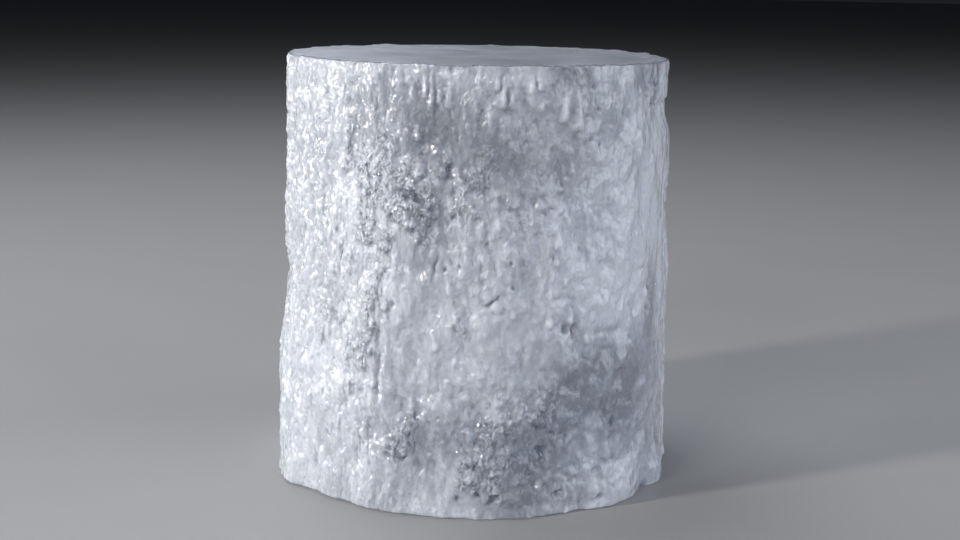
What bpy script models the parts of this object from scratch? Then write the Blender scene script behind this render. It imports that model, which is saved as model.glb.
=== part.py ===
"""An ice block: a short sawn cylinder of cloudy ice that stands on its flat foot.

The block froze as one piece, so it is one closed solid. Its wall is a shallow cone that
widens towards the foot, runnelled from top to bottom by melt water, with a few swells,
hollows and chips. The sawn top is flat with a softened rim, and the foot is cut flat.

Units are metres and +Z is up. The origin is the middle of the foot. A bearing is an angle
round the block, in degrees: 0 is the front (-Y), 90 the right (+X) and -90 the left (-X).
"""

import math
from typing import NamedTuple

import bmesh
import bpy
from mathutils import Vector

MM = 0.001

# Driving dimensions
HEIGHT = 104.7 * MM
TOP_RADIUS = 47.8 * MM
FOOT_RADIUS = 50.4 * MM
TOP_ROUND = 0.45 * MM  # radius of the softened rim round the sawn top
FOOT_ROUND = 0.5 * MM  # radius of the melted edge round the foot
WORN_ROUND = 0.9 * MM  # how much more the rim is rounded at its most worn bearing
WORN_BEARING = 84
WORN_SPREAD = 22  # degrees to each side
TOP_DISH = 0.3 * MM  # how far the middle of the sawn top lies below its rim

# How finely the solid is faceted
COLUMNS = 144
WALL_RINGS = 21
ROUND_STEPS = 3
CAP_RINGS = 3


class Runnel(NamedTuple):
    """A family of shallow vertical grooves, spaced evenly round the wall."""

    count: int  # grooves round the block
    depth: float
    phase: float  # radians
    twist: float  # radians that a groove drifts between foot and top
    beats: float  # half waves, over the height, in which the grooves fade and return


class Swell(NamedTuple):
    """A place where the wall stands out (push above 0) or has melted back (push below 0)."""

    bearing: float  # degrees
    height: float
    spread: float  # degrees to each side
    reach: float  # up and down
    push: float


RUNNELS = (
    Runnel(count=2, depth=0.58 * MM, phase=-1.6, twist=0.3, beats=0.0),
    Runnel(count=5, depth=0.25 * MM, phase=2.1, twist=-0.7, beats=0.5),
    Runnel(count=9, depth=0.20 * MM, phase=4.4, twist=0.9, beats=1.0),
    Runnel(count=16, depth=0.18 * MM, phase=1.3, twist=-0.8, beats=1.5),
    Runnel(count=27, depth=0.14 * MM, phase=3.0, twist=1.1, beats=2.5),
)

SWELLS = (
    Swell(bearing=-84, height=96 * MM, spread=20, reach=14 * MM, push=0.1 * MM),
    Swell(bearing=-84, height=62 * MM, spread=22, reach=26 * MM, push=-0.2 * MM),
    Swell(bearing=-82, height=24 * MM, spread=26, reach=12 * MM, push=0.9 * MM),
    Swell(bearing=-76, height=46 * MM, spread=24, reach=8 * MM, push=-0.9 * MM),
    Swell(bearing=-81, height=2 * MM, spread=5, reach=9 * MM, push=0.6 * MM),
    Swell(bearing=-62, height=4 * MM, spread=6.4, reach=14 * MM, push=3.3 * MM),
    Swell(bearing=-28, height=2 * MM, spread=16, reach=7 * MM, push=0.4 * MM),
    Swell(bearing=1, height=4 * MM, spread=12, reach=9 * MM, push=0.6 * MM),
    Swell(bearing=43, height=2 * MM, spread=8, reach=8 * MM, push=1.8 * MM),
    Swell(bearing=58, height=0 * MM, spread=2.5, reach=1.2 * MM, push=-1.0 * MM),
    Swell(bearing=64, height=4 * MM, spread=3.2, reach=4 * MM, push=2.3 * MM),
    Swell(bearing=77, height=92 * MM, spread=13, reach=2.1 * MM, push=-1.2 * MM),
    Swell(bearing=80, height=5 * MM, spread=14, reach=7 * MM, push=-0.6 * MM),
    Swell(bearing=118, height=62 * MM, spread=22, reach=16 * MM, push=-0.7 * MM),
    Swell(bearing=160, height=24 * MM, spread=24, reach=14 * MM, push=0.7 * MM),
    Swell(bearing=-150, height=74 * MM, spread=26, reach=18 * MM, push=-0.6 * MM),
)

ICE_COLOUR = (0.60, 0.64, 0.72, 1.0)
ICE_ROUGHNESS = 0.35
ICE_TRANSMISSION = 0.35
ICE_IOR = 1.31


def clear_scene():
    """Removes the objects that Blender starts with."""
    for obj in list(bpy.data.objects):
        bpy.data.objects.remove(obj, do_unlink=True)


def turn_between(a, b):
    """The angle from bearing b to bearing a, from -180 to 180 degrees."""
    return (a - b + 180) % 360 - 180


def bell(distance, spread):
    """A smooth hump: 1 in the middle, and nearly 0 past three times the spread."""
    return math.exp(-0.5 * (distance / spread) ** 2)


def runnel_depth(bearing, height):
    """How far all the families of grooves push the wall out or in."""
    angle = math.radians(bearing)
    share = height / HEIGHT
    total = 0.0
    for family in RUNNELS:
        wave = math.cos(family.count * angle + family.phase + family.twist * share)
        fade = math.cos(math.pi * family.beats * share + family.phase)
        total += family.depth * wave * (0.6 + 0.4 * fade)
    return total


def wall_radius(bearing, height):
    """Radius of the wall, before its two edges are rounded."""
    cone = FOOT_RADIUS + (TOP_RADIUS - FOOT_RADIUS) * height / HEIGHT
    swells = sum(
        swell.push
        * bell(turn_between(bearing, swell.bearing), swell.spread)
        * bell(height - swell.height, swell.reach)
        for swell in SWELLS
    )
    return cone + runnel_depth(bearing, height) + swells


def rim_round(bearing):
    """Radius of the rim's rounding, which is larger where the rim is worn."""
    return TOP_ROUND + WORN_ROUND * bell(turn_between(bearing, WORN_BEARING), WORN_SPREAD)


def place(bearing, radius, height):
    """The point at this bearing, distance from the axis, and height."""
    angle = math.radians(bearing)
    return Vector((radius * math.sin(angle), -radius * math.cos(angle), height))


def profile(bearing):
    """The wall's points at one bearing, from the foot's edge to the rim.

    Each edge is a quarter circle. Between the two, the heights are evenly spaced.
    """
    foot, rim = FOOT_ROUND, rim_round(bearing)
    points = []
    for step in range(ROUND_STEPS):
        angle = math.pi / 2 * step / ROUND_STEPS
        height = foot * (1 - math.cos(angle))
        radius = wall_radius(bearing, height) - foot * (1 - math.sin(angle))
        points.append(place(bearing, radius, height))
    for ring in range(WALL_RINGS + 1):
        height = foot + (HEIGHT - rim - foot) * ring / WALL_RINGS
        points.append(place(bearing, wall_radius(bearing, height), height))
    for step in range(1, ROUND_STEPS + 1):
        angle = math.pi / 2 * step / ROUND_STEPS
        height = HEIGHT - rim * (1 - math.sin(angle))
        radius = wall_radius(bearing, height) - rim * (1 - math.cos(angle))
        points.append(place(bearing, radius, height))
    return points


def cap_points(edge, dish):
    """Rings of points from an edge point in towards the axis, without the middle point."""
    points = []
    for ring in range(1, CAP_RINGS):
        share = ring / CAP_RINGS
        sink = dish * math.sin(math.pi / 2 * share)
        points.append(Vector((edge.x * (1 - share), edge.y * (1 - share), edge.z - sink)))
    return points


def build_mesh():
    """The closed skin of the block: a foot, a wall and a sawn top on one set of columns."""
    shape = bmesh.new()
    columns = []
    for index in range(COLUMNS):
        wall = profile(360 * index / COLUMNS)
        foot = cap_points(wall[0], 0.0)[::-1]
        top = cap_points(wall[-1], TOP_DISH)
        columns.append([shape.verts.new(point) for point in foot + wall + top])
    foot_middle = shape.verts.new((0, 0, 0))
    top_middle = shape.verts.new((0, 0, HEIGHT - TOP_DISH))
    for index, column in enumerate(columns):
        beside = columns[(index + 1) % COLUMNS]
        shape.faces.new((foot_middle, beside[0], column[0]))
        shape.faces.new((top_middle, column[-1], beside[-1]))
        for low in range(len(column) - 1):
            shape.faces.new((column[low], beside[low], beside[low + 1], column[low + 1]))
    bmesh.ops.recalc_face_normals(shape, faces=shape.faces)
    bmesh.ops.triangulate(shape, faces=shape.faces)
    mesh = bpy.data.meshes.new("ice_block")
    shape.to_mesh(mesh)
    shape.free()
    mesh.shade_smooth()
    mesh.set_sharp_from_angle(angle=math.radians(50))
    return mesh


def ice_material():
    """Cloudy ice: pale, faintly blue, glossy and partly see-through."""
    material = bpy.data.materials.new("cloudy_ice")
    material.use_nodes = True
    surface = material.node_tree.nodes["Principled BSDF"]
    surface.inputs["Base Color"].default_value = ICE_COLOUR
    surface.inputs["Roughness"].default_value = ICE_ROUGHNESS
    surface.inputs["Metallic"].default_value = 0.0
    surface.inputs["IOR"].default_value = ICE_IOR
    surface.inputs["Transmission Weight"].default_value = ICE_TRANSMISSION
    return material


def main():
    clear_scene()
    mesh = build_mesh()
    mesh.materials.append(ice_material())
    block = bpy.data.objects.new("ice_block", mesh)
    bpy.context.scene.collection.objects.link(block)


main()
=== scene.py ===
"""A block of cloudy ice: a short sawn cylinder that stands on a plain pale floor.

The block is one closed skin round one body of ice. Its form is the construction's own: a
shallow cone with runnels and swells, a flat sawn top and a flat foot. On that form lie the
marks that melting and refreezing leave, each kind made by a relief of its own: scallops,
streaks, trickles, refrozen plates, a granular crust, pits, drips, creases and knobs.

The wall is worked out unrolled. A place on it has a bearing, in degrees round the block from
the front (-Y) towards the right (+X), and a height above the foot. Sizes are in metres.
"""

import logging
import math
from abc import ABC, abstractmethod
from dataclasses import dataclass
from enum import Enum
from typing import Iterable, Sequence

import bpy
import numpy as np
from mathutils import Matrix, Vector


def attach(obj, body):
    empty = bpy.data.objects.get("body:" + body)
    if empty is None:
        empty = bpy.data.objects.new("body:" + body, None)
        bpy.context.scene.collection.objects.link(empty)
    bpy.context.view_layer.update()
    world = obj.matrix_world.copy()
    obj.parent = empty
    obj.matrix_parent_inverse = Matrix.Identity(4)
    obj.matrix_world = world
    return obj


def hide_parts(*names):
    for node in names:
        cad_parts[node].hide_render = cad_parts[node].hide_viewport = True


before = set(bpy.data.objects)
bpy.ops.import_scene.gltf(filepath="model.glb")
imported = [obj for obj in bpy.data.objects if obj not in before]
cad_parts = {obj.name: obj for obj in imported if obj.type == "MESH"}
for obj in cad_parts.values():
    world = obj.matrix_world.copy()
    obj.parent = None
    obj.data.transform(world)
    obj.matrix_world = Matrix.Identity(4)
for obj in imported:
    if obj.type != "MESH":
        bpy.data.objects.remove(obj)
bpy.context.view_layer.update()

Array = np.ndarray
Socket = bpy.types.NodeSocket

LOG = logging.getLogger("ice_block")
MM = 0.001
MEAN_RADIUS = 49 * MM  # the wall is unrolled at this radius
TURN = 2 * math.pi * MEAN_RADIUS  # length of the unrolled wall
PATTERN_HEIGHT = 0.15  # patterns don't repeat below this height


class Channel(str, Enum):
    """Values stored at each point of the skin, which the ice's finish reads."""

    CLEAR = "clear"  # 0 in white, bubbly ice, to 1 where the ice is clear and looks dark; it also holds painted shade and painted light
    CRUST = "crust"  # 0 on smooth ice, to 1 on granular ice
    HOLLOW_SHADE = "hollow"  # painted shade: 0 on open ice, to 1 down in a pit or between grains
    ROUGH = "rough"  # about 0 on polished or sawn ice, 1.1 on the wall and 2.3 on the crust
    BEADS = "beads"  # the share of the skin's cells that hold a small frozen bead


# ---------------------------------------------------------------- noise on the unrolled wall


def arc_at(bearing: float) -> float:
    """Distance round the wall from the front to this bearing."""
    return math.radians(bearing) * MEAN_RADIUS


@dataclass(frozen=True)
class Places:
    """Places on the unrolled wall, as arrays of one shape."""

    arc: Array  # distance round the wall from the front, towards the right
    height: Array  # height above the foot

    @property
    def bearing(self) -> Array:
        """Bearing of each place, in degrees."""
        return np.degrees(self.arc / MEAN_RADIUS)

    def shifted(self, arc: Array, height: Array) -> "Places":
        """The same places moved along the wall by these distances."""
        return Places(self.arc + arc, self.height + height)


def flat_places(x: Array, y: Array) -> Places:
    """Places for a pattern on the flat sawn top, moved so that their heights are above 0."""
    return Places(x, y + 60 * MM)


def smooth_step(low: float, high: float, value: Array) -> Array:
    """3t^2 - 2t^3 of value's share t of the way from low to high: 0 below low, 1 above high."""
    share = np.clip((value - low) / (high - low), 0, 1)
    return share * share * (3 - 2 * share)


def bell(distance: Array, spread: float) -> Array:
    """exp(-d^2 / 2s^2): 1 in the middle, and nearly 0 past three times the spread."""
    return np.exp(-0.5 * (distance / spread) ** 2)


def turn_between(a: Array, b: float) -> Array:
    """The angle in degrees from bearing b to bearing a, from -180 to 180."""
    return (a - b + 180) % 360 - 180


@dataclass(frozen=True)
class Lattice:
    """A pattern's cells on the unrolled wall, which close on themselves round the block."""

    width: float  # size of one cell round the wall
    height: float  # size of one cell up the wall
    seed: int  # picks the pattern

    @property
    def shape(self) -> tuple[int, int]:
        """How many rows and columns of cells there are before the pattern repeats."""
        return math.ceil(PATTERN_HEIGHT / self.height) + 2, max(3, round(TURN / self.width))

    def spots(self, places: Places) -> tuple[Array, Array]:
        """The places counted in cells, round the wall and up it."""
        return places.arc / TURN * self.shape[1], places.height / self.height

    def cell(self, row: Array, column: Array) -> tuple[Array, Array]:
        """The index of a cell. Past the last row or column the first comes again."""
        rows, columns = self.shape
        return row % rows, column % columns


class Waves(Lattice):
    """Smooth noise."""

    def over(self, places: Places) -> Array:
        """Noise at each place.

        Each corner of the lattice has a slope in a random direction. The four slopes round a
        place are blended by its share t of the cell, as 6t^5 - 15t^4 + 10t^3.

        Args:
            places: where the noise is wanted.

        Returns:
            Numbers from about -1 to 1.
        """
        angle = np.random.default_rng(self.seed).uniform(0, 2 * math.pi, self.shape)
        slope_x, slope_y = np.cos(angle), np.sin(angle)
        x, y = self.spots(places)
        column, row = np.floor(x).astype(int), np.floor(y).astype(int)
        x, y = x - column, y - row
        blend_x = x ** 3 * (x * (x * 6 - 15) + 10)
        blend_y = y ** 3 * (y * (y * 6 - 15) + 10)

        def corner(right: int, up: int) -> Array:
            """The corner's slope times the way to the place."""
            at = self.cell(row + up, column + right)
            return slope_x[at] * (x - right) + slope_y[at] * (y - up)

        low = corner(0, 0) * (1 - blend_x) + corner(1, 0) * blend_x
        high = corner(0, 1) * (1 - blend_x) + corner(1, 1) * blend_x
        return 1.5 * (low * (1 - blend_y) + high * blend_y)

    def octaves(self, places: Places, count: int) -> Array:
        """The sum of several noises, each half the size and half the strength of the last.

        Args:
            places: where the noise is wanted.
            count: how many noises are summed.

        Returns:
            Numbers from about -2 to 2.
        """
        total = np.zeros_like(places.arc)
        for step in range(count):
            share = 0.5 ** step
            finer = Waves(self.width * share, self.height * share, self.seed + 101 * step)
            total += share * finer.over(places)
        return total


@dataclass(frozen=True)
class GrainField:
    """What a Grains pattern says at each place."""

    near: Array  # distance to the nearest grain's middle, in cells
    gap: Array  # how much further the second nearest is, in cells: 0 on the line between grains
    pick: Array  # a random number of the nearest grain, from 0 to 1
    lean: Array  # how far a facet that is tilted at random rises or falls here, from -1 to 1


class Grains(Lattice):
    """Grains packed over the wall at random, one in each cell."""

    def over(self, places: Places) -> GrainField:
        """The grains round each place.

        Each cell of the lattice holds one grain at a random point. The nine cells round a place
        are searched for the nearest two.

        Args:
            places: where the pattern is wanted.

        Returns:
            What the pattern says there.
        """
        random = np.random.default_rng(self.seed)
        middle_x, middle_y, pick = random.random((3, *self.shape))
        tilt = random.uniform(0, 2 * math.pi, self.shape)
        x, y = self.spots(places)
        column, row = np.floor(x).astype(int), np.floor(y).astype(int)
        near = np.full_like(x, 9.0)
        second = np.full_like(x, 9.0)
        picked = np.zeros_like(x)
        lean = np.zeros_like(x)
        for up in (-1, 0, 1):
            for right in (-1, 0, 1):
                at = self.cell(row + up, column + right)
                away_x = x - (column + right + middle_x[at])
                away_y = y - (row + up + middle_y[at])
                distance = np.hypot(away_x, away_y)
                closer = distance < near
                second = np.where(closer, near, np.minimum(second, distance))
                near = np.where(closer, distance, near)
                picked = np.where(closer, pick[at], picked)
                facet = away_x * np.cos(tilt[at]) + away_y * np.sin(tilt[at])
                lean = np.where(closer, facet, lean)
        return GrainField(near, second - near, picked, lean)


@dataclass(frozen=True)
class Zone:
    """A soft-edged patch of the wall."""

    bearing: float  # degrees
    height: float  # height of its middle
    spread: float  # degrees to each side
    reach: float  # how far it goes up and down
    strength: float  # its value in the middle
    slant: float = 0.0  # metres that it rises for each degree to the right

    def over(self, places: Places) -> Array:
        """A bell round the block times a bell up it.

        Args:
            places: where the patch's value is wanted.

        Returns:
            The patch's strength there.
        """
        aside = turn_between(places.bearing, self.bearing)
        above = places.height - self.height - self.slant * aside
        return self.strength * bell(aside, self.spread) * bell(above, self.reach)


def zones_over(places: Places, zones: Iterable[Zone], ground: float = 0.0) -> Array:
    """The ground value plus every zone's, kept from 0 to 1."""
    return np.clip(sum((zone.over(places) for zone in zones), ground), 0, 1)


# ---------------------------------------------------------------- the block's form


@dataclass(frozen=True)
class Runnel:
    """A family of shallow vertical grooves, spaced evenly round the wall."""

    count: int  # grooves round the block
    depth: float  # how deep they are
    phase: float  # turns the family, in radians
    twist: float  # radians that a groove drifts between foot and top
    beats: float  # half waves, over the height, in which the grooves fade and return

    def push(self, places: Places, share: Array) -> Array:
        """depth * cos(count * bearing + ...), fading and returning up the wall.

        Args:
            places: where the push is wanted.
            share: how far up the block each place is, from 0 to 1.

        Returns:
            How far the grooves push the wall out there, or in below 0.
        """
        wave = np.cos(self.count * places.arc / MEAN_RADIUS + self.phase + self.twist * share)
        fade = np.cos(math.pi * self.beats * share + self.phase)
        return self.depth * wave * (0.6 + 0.4 * fade)


@dataclass(frozen=True)
class Form:
    """The construction's own form: a cone with runnels and swells, and its two rounded edges."""

    height: float = 104.7 * MM
    top_radius: float = 47.8 * MM
    foot_radius: float = 50.4 * MM
    top_round: float = 0.45 * MM  # radius of the rim's rounding
    foot_round: float = 0.5 * MM  # radius of the rounding round the foot
    worn_round: float = 0.9 * MM  # how much more the rim is rounded where it is most worn
    worn_bearing: float = 84  # where that is
    worn_spread: float = 22  # degrees to each side
    top_dish: float = 0.3 * MM  # how far the middle of the top lies below its rim
    runnels: Sequence[Runnel] = (
        Runnel(count=2, depth=0.58 * MM, phase=-1.6, twist=0.3, beats=0.0),
        Runnel(count=5, depth=0.25 * MM, phase=2.1, twist=-0.7, beats=0.5),
        Runnel(count=9, depth=0.20 * MM, phase=4.4, twist=0.9, beats=1.0),
        Runnel(count=16, depth=0.18 * MM, phase=1.3, twist=-0.8, beats=1.5),
        Runnel(count=27, depth=0.14 * MM, phase=3.0, twist=1.1, beats=2.5),
    )
    swells: Sequence[Zone] = (  # their strength is how far they push the wall out
        Zone(-84, 96 * MM, spread=20, reach=14 * MM, strength=0.1 * MM),
        Zone(-84, 62 * MM, spread=22, reach=26 * MM, strength=-0.2 * MM),
        Zone(-82, 24 * MM, spread=26, reach=12 * MM, strength=0.9 * MM),
        Zone(-76, 46 * MM, spread=24, reach=8 * MM, strength=-0.9 * MM),
        Zone(-81, 2 * MM, spread=5, reach=9 * MM, strength=0.6 * MM),
        Zone(-62, 4 * MM, spread=6.4, reach=14 * MM, strength=3.3 * MM),
        Zone(-28, 2 * MM, spread=16, reach=7 * MM, strength=0.4 * MM),
        Zone(1, 4 * MM, spread=12, reach=9 * MM, strength=0.6 * MM),
        Zone(43, 2 * MM, spread=8, reach=8 * MM, strength=1.8 * MM),
        Zone(58, 0 * MM, spread=2.5, reach=1.2 * MM, strength=-1.0 * MM),
        Zone(64, 4 * MM, spread=3.2, reach=4 * MM, strength=2.3 * MM),
        Zone(77, 92 * MM, spread=13, reach=2.1 * MM, strength=-1.2 * MM),
        Zone(80, 5 * MM, spread=14, reach=7 * MM, strength=-0.6 * MM),
        Zone(118, 62 * MM, spread=22, reach=16 * MM, strength=-0.7 * MM),
        Zone(160, 24 * MM, spread=24, reach=14 * MM, strength=0.7 * MM),
        Zone(-150, 74 * MM, spread=26, reach=18 * MM, strength=-0.6 * MM),
    )

    def wall_radius(self, places: Places) -> Array:
        """Cone, runnels and swells.

        Args:
            places: where the radius is wanted.

        Returns:
            Radius of the wall there, before its edges are rounded.
        """
        share = places.height / self.height
        cone = self.foot_radius + (self.top_radius - self.foot_radius) * share
        grooves = sum(runnel.push(places, share) for runnel in self.runnels)
        return cone + grooves + sum(swell.over(places) for swell in self.swells)

    def rim_round(self, bearing: Array) -> Array:
        """Radius of the rim's rounding, which is larger where the rim is worn."""
        worn = bell(turn_between(bearing, self.worn_bearing), self.worn_spread)
        return self.top_round + self.worn_round * worn


# ---------------------------------------------------------------- marks on the wall


class Relief(ABC):
    """One kind of mark that melting and refreezing leave on the wall."""

    @abstractmethod
    def push(self, places: Places) -> Array:
        """How far the mark pushes the wall out, or in below 0.

        Args:
            places: where the push is wanted.

        Returns:
            The push there, in metres.
        """


@dataclass(frozen=True)
class Scallops(Relief):
    """Broad shallow hollows."""

    depth: float = 0.45 * MM  # how deep they are
    waves: Waves = Waves(width=17 * MM, height=24 * MM, seed=11)  # size of a hollow

    def push(self, places: Places) -> Array:
        """Two octaves of broad waves."""
        return self.depth * self.waves.octaves(places, 2)


@dataclass(frozen=True)
class Streaks(Relief):
    """Vertical ridges and grooves where water ran down, which wander and lean a little."""

    depth: float  # how far a ridge stands over its groove
    waves: Waves  # width and length of one streak
    wander: float  # how far a streak strays sideways
    zones: Sequence[Zone]  # where they are deeper, or shallower below 0
    ground: float = 0.25  # their share of the depth elsewhere
    lean: float = 0.25  # how far a streak on the right side leans to the right for each metre up
    upright: float = 50 * MM  # the height that they lean about

    def push(self, places: Places) -> Array:
        """Long narrow waves, on places that broad waves have moved sideways.

        Args:
            places: where the push is wanted.

        Returns:
            The push there.
        """
        stray = Waves(9 * MM, 16 * MM, self.waves.seed + 7).octaves(places, 2)
        right_side = smooth_step(0, 40, places.bearing) * smooth_step(110, 80, places.bearing)
        leaning = -self.lean * right_side * (places.height - self.upright)
        moved = places.shifted(self.wander * stray + leaning, np.zeros_like(places.arc))
        noise = self.waves.octaves(moved, 2)
        depth = self.depth * (noise - 0.4 * np.abs(noise))
        return depth * zones_over(places, self.zones, self.ground)


@dataclass(frozen=True)
class Plates(Relief):
    """Thin refrozen plates with crisp ledges, like a stepped map."""

    zones: Sequence[Zone]  # where they stand out more, or less below 0
    step: float = 0.21 * MM  # how far one plate stands over the next
    steps: float = 3.5  # plates on the way from the lowest to the highest
    waves: Waves = Waves(width=8 * MM, height=15 * MM, seed=31)  # size of the plates
    ground: float = 1.0  # their share of the step elsewhere
    ledge: float = 0.22  # the share of a step's rise that its ledge takes
    jagged: float = 0.35  # how far a ledge strays, in steps

    def push(self, places: Places) -> Array:
        """Noise rounded down to whole steps, with a steep smooth ledge between two steps.

        Args:
            places: where the push is wanted.

        Returns:
            The push there.
        """
        stray = Waves(1.7 * MM, 3.2 * MM, self.waves.seed + 5).over(places)
        level = self.steps * self.waves.octaves(places, 3) + self.jagged * stray
        whole = np.floor(level)
        plates = whole + smooth_step(1 - self.ledge, 1, level - whole)
        return self.step * plates * zones_over(places, self.zones, self.ground)


@dataclass(frozen=True)
class Crust(Relief):
    """Granular ice: rough lumps that carry small crystals."""

    zones: Sequence[Zone]  # where the crust is
    lumps: Waves = Waves(width=2.9 * MM, height=3.7 * MM, seed=41)  # size of the lumps
    crystals: Grains = Grains(width=1.5 * MM, height=1.8 * MM, seed=43)  # size of the crystals
    rise: float = 0.38 * MM  # how far a lump stands over what is beside it
    facet: float = 0.20 * MM  # how far a crystal's facet rises from one side to the other
    stray: float = 0.6 * MM  # how far lumps and crystals are bent out of their rows
    ground: float = 0.06  # how much crust there is outside the zones

    def cover(self, places: Places) -> Array:
        """The zones broken up by noise.

        Args:
            places: where the cover is wanted.

        Returns:
            How far the crust covers each place, from 0 to 1.
        """
        broken = Waves(5 * MM, 7 * MM, 47).octaves(places, 4)
        level = zones_over(places, self.zones, self.ground)
        return smooth_step(0.3, 0.85, level + (0.3 + 0.4 * level) * broken)

    def push(self, places: Places) -> Array:
        """Puffs with sharp creases between them, |n| of the lumps' noise n, that carry crystals.

        Args:
            places: where the push is wanted.

        Returns:
            The push there.
        """
        bent = places.shifted(
            self.stray * Waves(2.2 * MM, 2.2 * MM, 53).octaves(places, 2),
            self.stray * Waves(2.2 * MM, 2.2 * MM, 54).octaves(places, 2),
        )
        puffs = 1.8 * np.abs(self.lumps.octaves(bent, 2)) - 0.5
        puffs = puffs + 0.2 * self.lumps.octaves(places, 3)
        crystal = self.crystals.over(bent)
        facets = 0.7 * crystal.pick + 0.8 * crystal.lean - 0.4
        return self.cover(places) * (self.rise * puffs + self.facet * facets)


@dataclass(frozen=True)
class Flows(Relief):
    """Frozen trickles side by side: long rounded drops with narrow gaps between them."""

    rise: float  # how far a drop stands over the gap beside it
    drops: Grains  # width and length of one drop
    zones: Sequence[Zone]  # where they are
    ground: float = 0.15  # their share of the rise elsewhere
    gap: float = 0.45  # width of the slope down to a gap, in drops

    def push(self, places: Places) -> Array:
        """A smooth step of the gap, and each drop a little higher or lower than its neighbours.

        Args:
            places: where the push is wanted.

        Returns:
            The push there.
        """
        seed = self.drops.seed
        bent = places.shifted(
            0.5 * self.drops.width * Waves(3 * MM, 8 * MM, seed + 1).octaves(places, 3),
            0.3 * self.drops.height * Waves(2 * MM, 3 * MM, seed + 2).octaves(places, 2),
        )
        drop = self.drops.over(bent)
        dome = smooth_step(0, self.gap, drop.gap) + 0.7 * (drop.pick - 0.5) - 0.5
        broken = 0.35 * Waves(5 * MM, 9 * MM, seed + 3).octaves(places, 2)
        return self.rise * dome * zones_over(places, self.zones, self.ground + broken)


@dataclass(frozen=True)
class Pits(Relief):
    """Small melted holes."""

    depth: float  # of the deepest
    grains: Grains  # their spacing
    share: float  # the share of the spaces that hold a pit on smooth ice
    crust: Crust  # where the ice is crusted there are more
    crusted: float = 0.16  # how much larger the share is there
    width: float = 0.16  # radius of a pit, in spacings

    def push(self, places: Places) -> Array:
        """A ragged hole in the middle of some of the grains, picked at random.

        Args:
            places: where the push is wanted.

        Returns:
            The push there.
        """
        seed = self.grains.seed
        bent = places.shifted(
            0.5 * self.grains.width * Waves(0.9 * MM, 1.2 * MM, seed + 1).octaves(places, 2),
            0.4 * self.grains.height * Waves(0.9 * MM, 1.2 * MM, seed + 2).octaves(places, 2),
        )
        grain = self.grains.over(bent)
        likely = self.share + self.crusted * self.crust.cover(places)
        held = smooth_step(0, 0.1, likely - grain.pick)
        return -self.depth * held * bell(grain.near, self.width)


@dataclass(frozen=True)
class Drip(Relief):
    """A frozen drip: a ridge that runs down the wall, thickens and ends in a rounded drop."""

    bearing: float  # degrees
    top: float  # height where it starts
    length: float  # how far it runs down
    width: float  # across its drop
    rise: float  # how far the drop stands out
    end: float = 0.2  # the share of the length that its rounded end takes

    def push(self, places: Places) -> Array:
        """A bell across the drip times its rise along it: slow at first, then a round end.

        Args:
            places: where the push is wanted.

        Returns:
            The push there.
        """
        share = (self.top - places.height) / self.length
        inside = (share > 0) & (share < 1)
        aside = places.arc - arc_at(self.bearing)
        aside = (aside + TURN / 2) % TURN - TURN / 2
        width = self.width * (0.25 + 0.25 * np.clip(share, 0, 1))
        into_end = np.clip(share - (1 - self.end), 0, 1) / self.end
        end = np.sqrt(np.clip(1 - into_end ** 2, 0, 1))
        along = smooth_step(0, 0.75, share) * end
        return np.where(inside, self.rise * along * bell(aside / width, 1), 0)


@dataclass(frozen=True)
class Drips(Relief):
    """A group of frozen drips: some placed one by one, and more at random."""

    placed: Sequence[Drip] = ()  # the drips that are placed one by one
    count: int = 180  # how many more there are
    seed: int = 61  # picks their places and sizes
    bearings: tuple[float, float] = (-180, 180)  # the bearings that they are between
    tops: tuple[float, float] = (95 * MM, 104 * MM)  # the heights that they start between
    lengths: tuple[float, float] = (2 * MM, 6 * MM)  # the shortest and the longest
    widths: tuple[float, float] = (0.7 * MM, 1.3 * MM)  # the narrowest and the widest
    rises: tuple[float, float] = (0.14 * MM, 0.40 * MM)  # the lowest and the proudest

    def drips(self) -> list[Drip]:
        """Draws the random drips.

        Returns:
            The placed drips and the random ones.
        """
        random = np.random.default_rng(self.seed)
        ranges = (self.bearings, self.tops, self.lengths, self.widths, self.rises)
        some = [Drip(*(random.uniform(*ends) for ends in ranges)) for _ in range(self.count)]
        return [*self.placed, *some]

    def push(self, places: Places) -> Array:
        """The highest drip at each place, worked out only on the rows that a drip reaches.

        Args:
            places: where the push is wanted, with their heights in rows.

        Returns:
            The push there.
        """
        total = np.zeros_like(places.arc)
        for drip in self.drips():
            reached = (places.height < drip.top) & (places.height > drip.top - drip.length)
            rows = np.nonzero(np.any(reached, axis=1))[0]
            if len(rows):
                part = slice(rows[0], rows[-1] + 1)
                some = Places(places.arc[part], places.height[part])
                total[part] = np.maximum(total[part], drip.push(some))
        return total


@dataclass(frozen=True)
class Crease(Relief):
    """A crack or fold along a straight line on the wall."""

    start: tuple[float, float]  # bearing and height of one end
    end: tuple[float, float]  # bearing and height of the other
    width: float  # how wide it is
    depth: float  # how deep it is, or how proud it stands below 0
    stray: float = 0.5 * MM  # how far its line strays

    def push(self, places: Places) -> Array:
        """A bell of the distance to the line, which a fine wave makes ragged.

        Args:
            places: where the push is wanted.

        Returns:
            The push there.
        """
        ragged = self.stray * Waves(2.5 * MM, 2.5 * MM, 71).octaves(places, 2)
        start_x, start_y = arc_at(self.start[0]), self.start[1]
        line_x, line_y = arc_at(self.end[0]) - start_x, self.end[1] - start_y
        length = math.hypot(line_x, line_y)
        away_x, away_y = places.arc - start_x, places.height - start_y
        share = (away_x * line_x + away_y * line_y) / length ** 2
        beside = (away_x * line_y - away_y * line_x) / length + ragged
        taper = smooth_step(-0.1, 0.25, share) * smooth_step(1.1, 0.75, share)
        return -self.depth * taper * bell(beside, self.width)


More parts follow.
